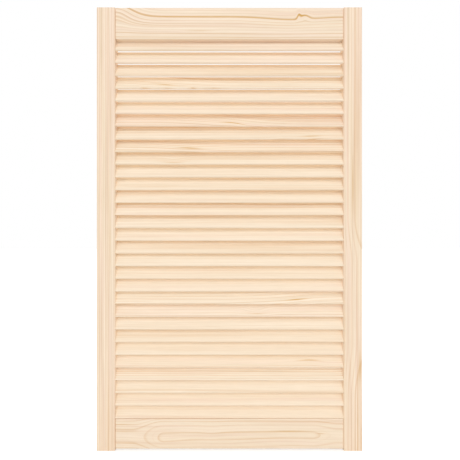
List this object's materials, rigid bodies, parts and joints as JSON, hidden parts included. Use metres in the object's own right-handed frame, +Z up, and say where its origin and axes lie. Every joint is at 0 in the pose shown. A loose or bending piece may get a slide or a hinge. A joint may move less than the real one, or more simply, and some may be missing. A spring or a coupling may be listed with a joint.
{
  "type": "louvred cabinet door",
  "caption": "Flat softwood cabinet door: two stiles, two rails and a ladder of fixed sloping slats that let air through.",
  "frame": {"origin": "middle of the door's width and thickness, level with the lower ends of the stiles", "axes": "+Z up along the stiles, +X to the right seen from the front, +Y from the front face to the back"},
  "size_m": [0.594, 0.021, 0.993],
  "materials": {
    "pine_frame": "untreated planed pine",
    "pine_slat": "untreated planed pine",
    "beech_dowel": "untreated turned beech"
  },
  "bodies": {
    "root": {"left_stile": "pine_frame", "right_stile": "pine_frame", "top_rail": "pine_frame", "bottom_rail": "pine_frame", "slat_01": "pine_slat", "slat_02": "pine_slat", "slat_03": "pine_slat", "slat_04": "pine_slat", "slat_05": "pine_slat", "slat_06": "pine_slat", "slat_07": "pine_slat", "slat_08": "pine_slat", "slat_09": "pine_slat", "slat_10": "pine_slat", "slat_11": "pine_slat", "slat_12": "pine_slat", "slat_13": "pine_slat", "slat_14": "pine_slat", "slat_15": "pine_slat", "slat_16": "pine_slat", "slat_17": "pine_slat", "slat_18": "pine_slat", "slat_19": "pine_slat", "slat_20": "pine_slat", "slat_21": "pine_slat", "slat_22": "pine_slat", "slat_23": "pine_slat", "slat_24": "pine_slat", "slat_25": "pine_slat", "slat_26": "pine_slat", "slat_27": "pine_slat", "slat_28": "pine_slat", "slat_29": "pine_slat", "slat_30": "pine_slat", "dowel_top_left_lower": "beech_dowel", "dowel_top_left_upper": "beech_dowel", "dowel_top_right_lower": "beech_dowel", "dowel_top_right_upper": "beech_dowel", "dowel_bottom_left_lower": "beech_dowel", "dowel_bottom_left_upper": "beech_dowel", "dowel_bottom_right_lower": "beech_dowel", "dowel_bottom_right_upper": "beech_dowel"}
  },
  "joints": []
}
